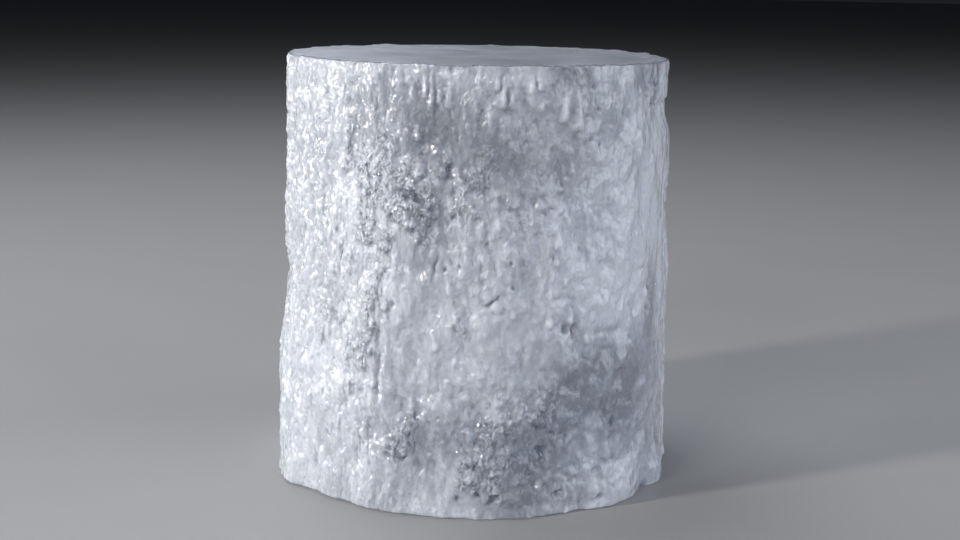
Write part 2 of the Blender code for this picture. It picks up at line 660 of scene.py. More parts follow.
@dataclass(frozen=True)
class Lump(Relief):
    """A knob or a hole: a round bump, steeper on its lower side."""

    bearing: float  # degrees
    height: float  # height of its middle
    radius: float
    rise: float  # how far it stands out, or how deep it is below 0
    drawn: float = 1.7  # how many times longer it is above its middle than below

    def push(self, places: Places) -> Array:
        """(1 - d^2)^2 inside the radius, with the distance d shortened above the middle.

        Args:
            places: where the push is wanted.

        Returns:
            The push there.
        """
        aside = arc_at(1) * turn_between(places.bearing, self.bearing)
        above = places.height - self.height
        above = np.where(above > 0, above / self.drawn, above)
        distance = np.hypot(aside, above) / self.radius
        return self.rise * np.clip(1 - distance ** 2, 0, 1) ** 2


# ---------------------------------------------------------------- meshes


def blurred(values: Array, rounds: int) -> Array:
    """Each value averaged with its neighbours, rounds times over: (a + 2b + c) / 4 each way.

    Args:
        values: rows from the foot to the top; its columns close on themselves.
        rounds: how many times the averaging is repeated.

    Returns:
        The blurred values.
    """
    for _ in range(rounds):
        values = (np.roll(values, 1, axis=1) + 2 * values + np.roll(values, -1, axis=1)) / 4
        padded = np.pad(values, ((1, 1), (0, 0)), mode="edge")
        values = (padded[:-2] + 2 * values + padded[2:]) / 4
    return values


def mesh_of(name: str, points: Array, corners: Array, sizes: Array) -> bpy.types.Mesh:
    """A mesh from whole arrays.

    Args:
        name: the mesh's name.
        points: one row of x, y and z for each vertex.
        corners: the faces' vertex numbers, one face after another.
        sizes: how many corners each face has.

    Returns:
        The mesh, shaded smooth.
    """
    mesh = bpy.data.meshes.new(name)
    mesh.vertices.add(len(points))
    mesh.vertices.foreach_set("co", points.astype(np.float32).ravel())
    mesh.loops.add(len(corners))
    mesh.loops.foreach_set("vertex_index", corners.astype(np.int32))
    mesh.polygons.add(len(sizes))
    starts = np.concatenate(([0], np.cumsum(sizes)[:-1]))
    mesh.polygons.foreach_set("loop_start", starts.astype(np.int32))
    mesh.update(calc_edges=True)
    mesh.shade_smooth()
    return mesh


def closed_skin(name: str, grid: Array) -> bpy.types.Mesh:
    """A closed mesh on a grid of points whose columns run from one pole to the other.

    Each row of the grid is a ring. Neighbouring rings are joined by quads, and the first and
    last rings are each closed by a fan of triangles round their middle.

    Args:
        name: the mesh's name.
        grid: points, as rows x columns x 3.

    Returns:
        The mesh. Its vertices are the grid's, row by row, then the two poles'.
    """
    rows, columns = grid.shape[:2]
    poles = grid[[0, -1]].mean(axis=1)
    points = np.concatenate((grid.reshape(-1, 3), poles))
    number = np.arange(rows * columns).reshape(rows, columns)
    beside = np.roll(number, -1, axis=1)
    quads = np.stack((number[:-1], beside[:-1], beside[1:], number[1:]), axis=-1).reshape(-1, 4)
    low = np.stack((np.full(columns, rows * columns), beside[0], number[0]), axis=-1)
    high = np.stack((np.full(columns, rows * columns + 1), number[-1], beside[-1]), axis=-1)
    fans = np.concatenate((low, high))
    corners = np.concatenate((quads.ravel(), fans.ravel()))
    sizes = np.concatenate((np.full(len(quads), 4), np.full(len(fans), 3)))
    return mesh_of(name, points, corners, sizes)


def thinned(obj: bpy.types.Object, triangles: int) -> None:
    """Collapses the shortest and flattest edges until the mesh has this many triangles.

    Args:
        obj: its mesh is replaced by the thinned one, which keeps fine detail only where the
            surface is rough.
        triangles: how many are left.
    """
    before = len(obj.data.loops) - 2 * len(obj.data.polygons)
    modifier = obj.modifiers.new("thin", "DECIMATE")
    modifier.ratio = triangles / before
    graph = bpy.context.evaluated_depsgraph_get()
    mesh = bpy.data.meshes.new_from_object(obj.evaluated_get(graph))
    mesh.name = obj.name
    obj.modifiers.clear()
    obj.data = mesh


# ---------------------------------------------------------------- the block


@dataclass(frozen=True)
class SawnFace:
    """The marks on the sawn top."""

    swell: float = 0.08 * MM  # how far it undulates
    saw: float = 0.006 * MM  # how deep the saw's marks are
    pitch: float = 2.1 * MM  # the distance between the saw's marks
    wobble: float = 0.8 * MM  # how far the saw's marks stray
    dimple: float = 0.15 * MM  # how deep the small melted dimples are

    def rise(self, x: Array, y: Array) -> Array:
        """Broad waves, faint parallel saw marks and scattered dimples.

        Args:
            x: how far to the right each point is.
            y: how far to the back it is.

        Returns:
            How far the marks lift each point.
        """
        flat = flat_places(x, y)
        waves = self.swell * Waves(14 * MM, 14 * MM, 81).octaves(flat, 3)
        wobble = self.wobble * Waves(20 * MM, 20 * MM, 83).over(flat)
        marks = self.saw * np.sin(2 * math.pi * (x * 0.94 + y * 0.34 + wobble) / self.pitch)
        grain = Grains(4.5 * MM, 4.5 * MM, 85).over(flat)
        dimples = self.dimple * smooth_step(0.3, 0.2, grain.pick) * bell(grain.near, 0.2)
        return waves + marks - dimples


@dataclass
class Skin:
    """The block's skin as a grid of rings, from the middle of the foot to that of the top."""

    places: Places  # where each point is. On the sawn top the height grows on towards the middle
    radius: Array  # distance from the axis
    height: Array  # height above the foot
    out: Array  # how much of a push moves the point away from the axis
    up: Array  # how much of a push lifts it

    @property
    def bearing(self) -> Array:
        """Bearing of each point, in radians."""
        return self.places.arc / MEAN_RADIUS

    @property
    def flat(self) -> tuple[Array, Array]:
        """x and y of each point before it is pushed."""
        return self.radius * np.sin(self.bearing), -self.radius * np.cos(self.bearing)

    @property
    def top(self) -> Array:
        """1 on the sawn top and 0 on the wall and foot."""
        return smooth_step(0.6, 1.0, self.up)


@dataclass
class IceBlock:
    """The whole block: one closed skin."""

    crust: Crust  # the granular ice
    marks: Sequence[Relief]  # all the other marks on the wall
    clear: Sequence[Zone]  # where the ice is clear and looks dark, with painted shade and painted light among them
    flows: Sequence[Zone]  # where there are frozen trickles
    smooth: Sequence[Zone]  # where the skin is polished
    beads: Sequence[Zone]  # where there are small frozen beads
    form: Form = Form()  # the shape that the marks lie on
    face: SawnFace = SawnFace()  # the marks on the sawn top
    sunk: float = 0.22 * MM  # how far the marks are set in, so that the tallest lie on the form
    rim_calm: float = 0.4  # the share of the marks that is left at the rim
    proud: float = 0.3 * MM  # a mark that stands this far over what is round it looks whiter
    columns: int = 1080  # points in each ring
    wall_rows: int = 330  # rings on the wall
    round_rows: int = 6  # rings on each rounded edge
    foot_rows: int = 6  # rings on the foot
    top_rows: int = 50  # rings on the sawn top
    triangles: int = 196_000  # how many the finished mesh has
    sharp: float = 58  # edges sharper than this, in degrees, aren't shaded smooth

    def skin(self) -> Skin:
        """The unmarked skin: foot, foot's edge, wall, rim and sawn top, ring by ring.

        The foot and the top are rings of a shrinking radius, and each edge is a quarter circle.

        Returns:
            The skin's grid.
        """
        form = self.form
        arc = (np.arange(self.columns) / self.columns - 0.5) * TURN
        rim = form.rim_round(np.degrees(arc / MEAN_RADIUS))
        quarter = np.linspace(0, math.pi / 2, self.round_rows, endpoint=False)
        rings: list[tuple[Array, ...]] = []

        def ring(along: Array | float, height: Array | float, inset: Array | float, share: float,
                 out: float, up: float) -> None:
            """Adds one ring.

            Args:
                along: its places' height on the unrolled wall.
                height: its height above the foot.
                inset: how far it lies inside the wall.
                share: what is left of its radius after that.
                out: how much of a push moves it away from the axis.
                up: how much of a push lifts it.
            """
            wall = form.wall_radius(Places(arc, height + 0 * arc))
            values = (along, height, (wall - inset) * share, out, up)
            rings.append(tuple(value + 0 * arc for value in values))

        for share in np.arange(1, self.foot_rows + 1) / (self.foot_rows + 1):
            ring(0.0, 0.0, form.foot_round, share, share, 0.0)
        for angle in quarter:
            height = form.foot_round * (1 - math.cos(angle))
            ring(height, height, form.foot_round * (1 - math.sin(angle)), 1, 1.0, 0.0)
        for share in np.linspace(0, 1, self.wall_rows):
            height = form.foot_round + (form.height - rim - form.foot_round) * share
            ring(height, height, 0.0, 1, 1.0, 0.0)
        for angle in quarter[1:]:
            height = form.height - rim * (1 - math.sin(angle))
            along = form.height - rim + rim * angle
            ring(along, height, rim * (1 - math.cos(angle)), 1, math.cos(angle), math.sin(angle))
        for share in np.arange(self.top_rows) / self.top_rows:
            sink = form.top_dish * math.sin(math.pi / 2 * share)
            along = form.height + rim * (math.pi / 2 - 1) + form.top_radius * share
            ring(along, form.height - sink, rim, 1 - share, 0.0, 1.0)
        along, height, radius, out, up = (np.stack(column) for column in zip(*rings))
        return Skin(Places(np.broadcast_to(arc, along.shape), along), radius, height, out, up)

    def relief(self, skin: Skin) -> Array:
        """All the marks together, which calm down at the rim and end just past it.

        Args:
            skin: the unmarked skin.

        Returns:
            How far each point is pushed.
        """
        push = self.crust.push(skin.places) + sum(mark.push(skin.places) for mark in self.marks)
        below = self.form.height - skin.places.height
        calm = self.rim_calm + (1 - self.rim_calm) * smooth_step(0.15 * MM, 0.9 * MM, below)
        fade = smooth_step(-2.6 * MM, -1.0 * MM, below)
        return (push - self.sunk) * calm * fade

    def build(self) -> bpy.types.Object:
        """Pushes the skin's points out and up by the marks, and joins them into a mesh.

        Returns:
            The block's object, with its form, its marks and the channels that its finish reads.
        """
        skin = self.skin()
        push = self.relief(skin)
        lift = push * skin.up + self.face.rise(*skin.flat) * skin.top
        radius = skin.radius + push * skin.out
        height = skin.height + lift
        grid = np.stack(
            (radius * np.sin(skin.bearing), -radius * np.cos(skin.bearing), height), axis=-1)
        mesh = closed_skin("cloudy_ice", grid)
        self.store(mesh, self.channels(skin, push))
        block = bpy.data.objects.new("cloudy_ice", mesh)
        bpy.context.scene.collection.objects.link(block)
        thinned(block, self.triangles)
        block.data.set_sharp_from_angle(angle=math.radians(self.sharp))
        return block

    def dress(self, block: bpy.types.Object) -> None:
        """Gives the block its finish."""
        block.data.materials.append(CloudyIce().material())

    def channels(self, skin: Skin, push: Array) -> dict[Channel, Array]:
        """How clear, crusted, hollow, rough and beaded the ice is.

        A point is hollow where it lies below its blurred surroundings, and there shade is painted.
        The sawn top has mottled values of its own, and painted shade that grows towards the right,
        away from the light.

        Args:
            skin: the unmarked skin.
            push: how far each of its points is pushed.

        Returns:
            Each channel's values on the skin's grid.
        """
        places, top, (flat_x, flat_y) = skin.places, skin.top, skin.flat
        patchy = 0.17 * Waves(8 * MM, 11 * MM, 91).octaves(places, 4)
        crust, flow = self.crust.cover(places), zones_over(places, self.flows, 0.1)
        proud = (push - blurred(push, 24)) / self.proud
        shallow = 0.45 - 0.35 * np.maximum(crust, 0.6 * flow)
        # painted shade in the hollows, darker the further a point lies below its surroundings
        deep = smooth_step(shallow, shallow + 0.9, -proud)
        # the clear zones hold painted shade and painted light as well as clear ice
        clear = zones_over(places, self.clear, 0.12 + patchy)
        clear = clear - 0.15 * crust - 0.3 * smooth_step(0.1, 1.2, proud)
        sawn = 0.08 + 0.2 * Waves(15 * MM, 15 * MM, 93).octaves(flat_places(flat_x, flat_y), 3)
        # painted shade: the sawn top darker towards the right, away from the light
        sawn = sawn + 0.52 * smooth_step(-45 * MM, 10 * MM, flat_x)
        plain = 1 - zones_over(places, self.smooth, 2 * patchy)
        beads = zones_over(places, self.beads, 0.14 + 2 * patchy + 0.7 * crust)
        return {
            Channel.CLEAR: clear * (1 - top) + sawn * top,
            Channel.CRUST: crust * (1 - top),
            Channel.HOLLOW_SHADE: deep * plain * (1 - top),
            Channel.ROUGH: (1.1 + 1.2 * crust + 0.3 * flow) * plain * (1 - top) + 0.05 * top,
            Channel.BEADS: beads * plain * (1 - top),
        }

    def store(self, mesh: bpy.types.Mesh, channels: dict[Channel, Array]) -> None:
        """Stores each channel as an attribute of the mesh. A pole takes its ring's mean.

        Args:
            mesh: a closed skin on the channels' grid.
            channels: each channel's values on that grid.
        """
        for channel, value in channels.items():
            stored = mesh.attributes.new(channel.value, "FLOAT", "POINT")
            poles = (value[0].mean(), value[-1].mean())
            stored.data.foreach_set("value", np.append(value.ravel(), poles).astype(np.float32))


# ---------------------------------------------------------------- where the marks are


CRUST_ZONES = (  # where the ice is granular
    Zone(-48, 90 * MM, spread=7, reach=9 * MM, strength=0.3),
    Zone(-15, 88 * MM, spread=2.5, reach=3 * MM, strength=0.4),
    Zone(-31, 82 * MM, spread=8, reach=6 * MM, strength=0.6, slant=-0.3 * MM),
    Zone(-21, 75 * MM, spread=7, reach=7 * MM, strength=0.8, slant=-0.4 * MM),
    Zone(-34, 64 * MM, spread=9, reach=7 * MM, strength=0.35),
    Zone(-28.5, 50 * MM, spread=4, reach=7 * MM, strength=0.5),
    Zone(-32, 33 * MM, spread=4, reach=10 * MM, strength=0.5),
    Zone(-46, 38 * MM, spread=6, reach=9 * MM, strength=0.35),
    Zone(-19.5, 17.5 * MM, spread=3.5, reach=4 * MM, strength=1.0, slant=1.1 * MM),
    Zone(3, 10 * MM, spread=5, reach=6 * MM, strength=0.9),
    Zone(6, 26 * MM, spread=7, reach=5 * MM, strength=0.45),
    Zone(13, 17 * MM, spread=5, reach=5 * MM, strength=0.3),
    Zone(36, 11 * MM, spread=9, reach=3 * MM, strength=0.25),
    Zone(20, 28 * MM, spread=4, reach=4.5 * MM, strength=0.55),
    Zone(2, 76 * MM, spread=10, reach=7 * MM, strength=0.3),
    Zone(-3, 80 * MM, spread=4.5, reach=4 * MM, strength=0.5),
    Zone(-4, 47 * MM, spread=2.5, reach=3 * MM, strength=0.4),
    Zone(61, 99 * MM, spread=5, reach=4 * MM, strength=0.6),
    Zone(-66, 56 * MM, spread=12, reach=34 * MM, strength=0.18),
    Zone(-120, 60 * MM, spread=24, reach=26 * MM, strength=0.55),
    Zone(170, 28 * MM, spread=22, reach=16 * MM, strength=0.7),
    Zone(-165, 84 * MM, spread=14, reach=12 * MM, strength=0.6),
    Zone(112, 40 * MM, spread=16, reach=20 * MM, strength=0.55),
    Zone(130, 88 * MM, spread=12, reach=9 * MM, strength=0.45),
)
CLEAR_AND_SHADE_ZONES = (  # where the ice is clearer and darker than elsewhere, or whiter below 0; many zones are painted shade and painted light, set to how light falls on the wall
    Zone(-3, 86 * MM, spread=14, reach=8 * MM, strength=0.47),
    Zone(12, 80 * MM, spread=10, reach=7 * MM, strength=0.2),
    Zone(30, 88 * MM, spread=14, reach=10 * MM, strength=0.2),
    Zone(-30, 96 * MM, spread=7, reach=10 * MM, strength=0.3),
    Zone(-28, 76 * MM, spread=6, reach=9 * MM, strength=-0.5),
    Zone(-17.5, 81 * MM, spread=2.5, reach=2.2 * MM, strength=-0.4),
    Zone(-19, 74.5 * MM, spread=3.5, reach=2.2 * MM, strength=0.3),
    Zone(-16, 71 * MM, spread=2, reach=4 * MM, strength=0.15),
    Zone(-35, 37 * MM, spread=4.5, reach=10 * MM, strength=-0.5),
    Zone(-23, 34 * MM, spread=3, reach=9 * MM, strength=0.3),
    Zone(15, 3 * MM, spread=9, reach=4 * MM, strength=0.35),
    Zone(-4, 56 * MM, spread=9, reach=9 * MM, strength=0.14),
    Zone(-14, 36 * MM, spread=7, reach=10 * MM, strength=0.12),
    Zone(18, 34 * MM, spread=9, reach=8 * MM, strength=0.12),
    Zone(-60, 80 * MM, spread=14, reach=16 * MM, strength=0.12),
    Zone(-38, 22 * MM, spread=5, reach=6 * MM, strength=0.2),
    Zone(-41, 47 * MM, spread=4, reach=5 * MM, strength=0.3),
    Zone(-27, 20 * MM, spread=4, reach=6 * MM, strength=0.25),
    Zone(66, 76 * MM, spread=11, reach=18 * MM, strength=-0.4),
    Zone(17, 70 * MM, spread=7, reach=10 * MM, strength=0.13),
    Zone(43, 84 * MM, spread=8, reach=9 * MM, strength=0.13),
    Zone(29, 39 * MM, spread=6, reach=5 * MM, strength=0.2),
    Zone(54, 28 * MM, spread=9, reach=12 * MM, strength=0.35),
    Zone(42, 50 * MM, spread=10, reach=7 * MM, strength=-0.25),
    Zone(-4, 2 * MM, spread=7, reach=4 * MM, strength=-0.15),
    Zone(-26, 2 * MM, spread=12, reach=4 * MM, strength=0.2),
    Zone(-5, 20 * MM, spread=9, reach=6 * MM, strength=0.25),
    Zone(-11, 94 * MM, spread=8, reach=7 * MM, strength=0.3),
    Zone(8, 8 * MM, spread=9, reach=7 * MM, strength=0.35),
    Zone(2, 20 * MM, spread=7, reach=5 * MM, strength=0.25),
    Zone(44, 20 * MM, spread=7, reach=6 * MM, strength=0.3),
    Zone(40, 100 * MM, spread=16, reach=5 * MM, strength=0.15),
    Zone(-13, 68 * MM, spread=4, reach=8 * MM, strength=0.6),
    Zone(38, 30 * MM, spread=11, reach=8 * MM, strength=0.6),
    Zone(22, 24 * MM, spread=8, reach=7 * MM, strength=0.5),
    Zone(17, 14 * MM, spread=7, reach=6 * MM, strength=0.45),
    Zone(-15, 17 * MM, spread=4, reach=7 * MM, strength=0.5),
    Zone(61, 47 * MM, spread=3, reach=9 * MM, strength=0.6),
    Zone(60, 99.5 * MM, spread=5, reach=4 * MM, strength=0.7),
    Zone(30, 103 * MM, spread=2.2, reach=1.6 * MM, strength=0.5),
    Zone(33.3, 16 * MM, spread=2.5, reach=3.5 * MM, strength=-0.25),
    Zone(33, 14 * MM, spread=8, reach=8 * MM, strength=0.2),
    Zone(62, 10 * MM, spread=6, reach=8 * MM, strength=0.3),
    Zone(-22, 89 * MM, spread=8, reach=7 * MM, strength=0.18),
    Zone(48, 34 * MM, spread=7, reach=5 * MM, strength=0.2),
    Zone(22, 102 * MM, spread=4, reach=2 * MM, strength=0.5),
    Zone(120, 70 * MM, spread=15, reach=14 * MM, strength=0.6),
    Zone(-140, 34 * MM, spread=16, reach=14 * MM, strength=0.6),
    Zone(170, 72 * MM, spread=15, reach=12 * MM, strength=0.5),
)
FLOW_ZONES = (  # where frozen trickles lie side by side
    Zone(-66, 84 * MM, spread=18, reach=24 * MM, strength=0.9),
    Zone(-60, 40 * MM, spread=16, reach=26 * MM, strength=0.8),
    Zone(-33, 32 * MM, spread=6, reach=20 * MM, strength=0.75),
    Zone(10, 96 * MM, spread=24, reach=8 * MM, strength=0.15),
    Zone(-110, 60 * MM, spread=22, reach=40 * MM, strength=0.7),
    Zone(150, 50 * MM, spread=26, reach=34 * MM, strength=0.6),
    Zone(69, 60 * MM, spread=17, reach=80 * MM, strength=-0.4),
)
SMOOTH_ZONES = (  # where the skin is polished
    Zone(80, 60 * MM, spread=15, reach=80 * MM, strength=0.6),
    Zone(-49, 33 * MM, spread=5, reach=5 * MM, strength=0.95),
    Zone(-45, 78 * MM, spread=4, reach=6 * MM, strength=0.5),
    Zone(65, 76 * MM, spread=7, reach=22 * MM, strength=0.35),
    Zone(14, 41 * MM, spread=10, reach=6 * MM, strength=0.5),
    Zone(-22, 33 * MM, spread=5, reach=10 * MM, strength=0.45),
    Zone(-16, 58 * MM, spread=4, reach=4 * MM, strength=0.5),
    Zone(-67, 60 * MM, spread=13, reach=80 * MM, strength=0.65),
    Zone(8, 41 * MM, spread=22, reach=10 * MM, strength=0.3),
    Zone(33, 14 * MM, spread=9, reach=11 * MM, strength=0.45),
)
BEAD_ZONES = (  # where small beads are frozen on
    Zone(-12, 92 * MM, spread=20, reach=12 * MM, strength=0.22),
    Zone(12, 96 * MM, spread=14, reach=9 * MM, strength=0.3),
    Zone(-55, 60 * MM, spread=22, reach=50 * MM, strength=0.28),
    Zone(8, 66 * MM, spread=16, reach=12 * MM, strength=0.3),
    Zone(14, 28 * MM, spread=12, reach=12 * MM, strength=0.35),
    Zone(-130, 60 * MM, spread=30, reach=40 * MM, strength=0.35),
    Zone(140, 60 * MM, spread=30, reach=40 * MM, strength=0.3),
)
STREAK_ZONES = (  # where the streaks are deeper
    Zone(15, 68 * MM, spread=26, reach=18 * MM, strength=0.7),
    Zone(10, 96 * MM, spread=26, reach=8 * MM, strength=0.5),
    Zone(-60, 84 * MM, spread=14, reach=22 * MM, strength=0.6),
    Zone(70, 60 * MM, spread=16, reach=80 * MM, strength=-0.22),
)
PLATE_ZONES = (  # where the broad plates are fainter
    Zone(70, 60 * MM, spread=15, reach=80 * MM, strength=-0.6),
)
LEDGE_ZONES = (  # where small plates lie
    Zone(28, 16 * MM, spread=26, reach=16 * MM, strength=0.9),
    Zone(-9, 28 * MM, spread=12, reach=10 * MM, strength=0.5),
    Zone(24, 62 * MM, spread=22, reach=14 * MM, strength=0.3),
    Zone(-150, 50 * MM, spread=30, reach=30 * MM, strength=0.5),
    Zone(130, 60 * MM, spread=30, reach=30 * MM, strength=0.5),
)
PLACED_DRIPS = (  # each one's bearing, top, length, width and rise
    Drip(-16.6, 30.5 * MM, 5 * MM, 1.2 * MM, 0.9 * MM),
    Drip(-16.0, 91.6 * MM, 4.2 * MM, 1.4 * MM, 0.8 * MM),
    Drip(26.8, 50.0 * MM, 4.8 * MM, 1.3 * MM, 1.4 * MM),
    Drip(-19.5, 104 * MM, 4 * MM, 1.2 * MM, 0.7 * MM),
    Drip(-14.3, 103 * MM, 6 * MM, 1.0 * MM, 0.9 * MM),
    Drip(-12.4, 102.5 * MM, 8 * MM, 1.1 * MM, 1.2 * MM),
    Drip(-10.4, 101 * MM, 5 * MM, 1.0 * MM, 0.9 * MM),
    Drip(-7.8, 102 * MM, 7 * MM, 1.1 * MM, 1.0 * MM),
    Drip(5.0, 104 * MM, 5 * MM, 1.0 * MM, 0.9 * MM),
    Drip(6.8, 103 * MM, 8 * MM, 1.1 * MM, 1.2 * MM),
    Drip(8.9, 101 * MM, 6 * MM, 1.2 * MM, 1.1 * MM),
    Drip(14.5, 103.5 * MM, 5 * MM, 1.1 * MM, 0.9 * MM),
    Drip(16.6, 103 * MM, 4 * MM, 1.0 * MM, 0.8 * MM),
    Drip(24.0, 101 * MM, 9 * MM, 1.2 * MM, 1.2 * MM),
    Drip(27.8, 100.5 * MM, 10.5 * MM, 2.0 * MM, 1.4 * MM),
    Drip(-39, 103.5 * MM, 9 * MM, 1.2 * MM, 0.40 * MM),
    Drip(-29, 98 * MM, 9 * MM, 0.9 * MM, 0.40 * MM),
)
KNOBS = (  # bearing, height, radius and rise, which is below 0 for a hole
    Lump(23.0, 48.6 * MM, 2.4 * MM, 0.55 * MM),
    Lump(20.4, 45.8 * MM, 1.25 * MM, 1.3 * MM),
    Lump(-15.8, 80.3 * MM, 1.9 * MM, 0.9 * MM),
    Lump(-9.0, 80.2 * MM, 1.3 * MM, 1.2 * MM),
    Lump(-15.2, 84.2 * MM, 0.8 * MM, -0.7 * MM),
    Lump(-5.9, 70.4 * MM, 1.0 * MM, -0.8 * MM),
    Lump(-8.2, 58.6 * MM, 0.8 * MM, -0.7 * MM),
    Lump(-4.2, 59.5 * MM, 0.6 * MM, -0.6 * MM),
    Lump(10.2, 54.4 * MM, 0.7 * MM, -0.7 * MM),
    Lump(9.5, 60.2 * MM, 0.7 * MM, -0.7 * MM),
    Lump(25.5, 44.0 * MM, 1.5 * MM, -1.5 * MM),
    Lump(32.2, 87.8 * MM, 0.7 * MM, -0.7 * MM),
    Lump(35.7, 86.5 * MM, 0.7 * MM, -0.7 * MM),
    Lump(23.9, 77.7 * MM, 0.9 * MM, -0.8 * MM),
    Lump(34.5, 94.6 * MM, 0.6 * MM, -0.6 * MM),
    Lump(44.3, 93.3 * MM, 0.8 * MM, -0.7 * MM),
    Lump(32.6, 99.6 * MM, 0.9 * MM, -0.8 * MM),
    Lump(55.6, 97.6 * MM, 1.3 * MM, -0.9 * MM),
    Lump(41.6, 20.0 * MM, 1.2 * MM, -1.6 * MM),
    Lump(41.8, 11.0 * MM, 0.8 * MM, -0.9 * MM),
    Lump(57.8, 0.2 * MM, 1.8 * MM, -1.3 * MM),
    Lump(84.0, 2.4 * MM, 1.7 * MM, 0.8 * MM),
    Lump(17.9, 7.4 * MM, 1.4 * MM, 0.9 * MM),
    Lump(-3.9, 4.6 * MM, 0.8 * MM, -0.8 * MM),
    Lump(0.6, 12.2 * MM, 0.8 * MM, -0.8 * MM),
    Lump(1.4, 5.8 * MM, 0.9 * MM, -0.9 * MM),
    Lump(-15.6, 23.4 * MM, 0.9 * MM, -0.9 * MM),
    Lump(-22.8, 49.6 * MM, 1.0 * MM, -0.8 * MM),
    Lump(-24.0, 16.4 * MM, 1.2 * MM, 0.9 * MM),
    Lump(-21.2, 17.0 * MM, 0.9 * MM, 0.7 * MM),
    Lump(57.7, 45.1 * MM, 1.4 * MM, -0.8 * MM),
    Lump(58.8, 51.2 * MM, 1.4 * MM, -0.7 * MM),
)
CREASES = (  # two ends, width and depth, which is below 0 for a fold that stands out
    Crease((2.4, 50.2 * MM), (5.0, 51.8 * MM), 0.35 * MM, 0.9 * MM),
    Crease((4.2, 51.2 * MM), (7.4, 53.2 * MM), 0.2 * MM, 0.6 * MM),
    Crease((28.3, 46.0 * MM), (28.0, 41.4 * MM), 0.35 * MM, 1.0 * MM),
    Crease((-7.8, 82.4 * MM), (-8.0, 78.2 * MM), 0.3 * MM, 0.8 * MM),
    Crease((-22.6, 76.2 * MM), (-14.0, 73.4 * MM), 0.8 * MM, 1.4 * MM),
    Crease((-10.2, 62.8 * MM), (-11.2, 56.4 * MM), 0.25 * MM, 0.6 * MM),
    Crease((-26.2, 40.0 * MM), (-27.6, 26.0 * MM), 0.5 * MM, 0.7 * MM),
    Crease((16.6, 16.9 * MM), (19.4, 15.3 * MM), 0.55 * MM, 1.4 * MM),
    Crease((18.8, 16.6 * MM), (19.0, 12.6 * MM), 0.5 * MM, 1.3 * MM),
    Crease((20.2, 20.4 * MM), (22.2, 19.4 * MM), 0.35 * MM, 0.8 * MM),
    Crease((24.0, 19.0 * MM), (26.6, 19.4 * MM), 0.5 * MM, 0.8 * MM),
    Crease((33.9, 9.0 * MM), (37.2, 9.8 * MM), 0.35 * MM, 0.9 * MM),
    Crease((34.2, 1.9 * MM), (37.8, 3.1 * MM), 0.4 * MM, 1.1 * MM),
    Crease((21.6, 4.8 * MM), (25.2, 5.3 * MM), 0.45 * MM, 1.1 * MM),
    Crease((26.6, 7.4 * MM), (29.6, 9.0 * MM), 0.4 * MM, 0.6 * MM),
    Crease((3.7, 3.2 * MM), (7.2, 6.6 * MM), 0.45 * MM, 0.9 * MM),
    Crease((-17.2, 20.8 * MM), (-17.6, 16.2 * MM), 0.3 * MM, 0.8 * MM),
    Crease((-24.8, 14.3 * MM), (-20.0, 13.2 * MM), 0.3 * MM, 0.8 * MM),
    Crease((-20.2, 12.3 * MM), (-17.8, 14.2 * MM), 0.3 * MM, 0.7 * MM),
    Crease((56, 95.2 * MM), (97, 94.2 * MM), 0.5 * MM, 0.65 * MM),
    Crease((56, 52 * MM), (25, 29 * MM), 1.6 * MM, 0.5 * MM),
    Crease((50, 42 * MM), (33, 24 * MM), 1.2 * MM, -0.4 * MM),
    Crease((24, 44 * MM), (52, 41 * MM), 0.9 * MM, 0.4 * MM),
    Crease((-20, 79 * MM), (-13, 63 * MM), 1.2 * MM, 0.6 * MM),
)


# ---------------------------------------------------------------- finishes


Colour = tuple[float, float, float]
WARM: Colour = (1.02, 1.0, 0.97)
COOL: Colour = (0.95, 0.99, 1.05)


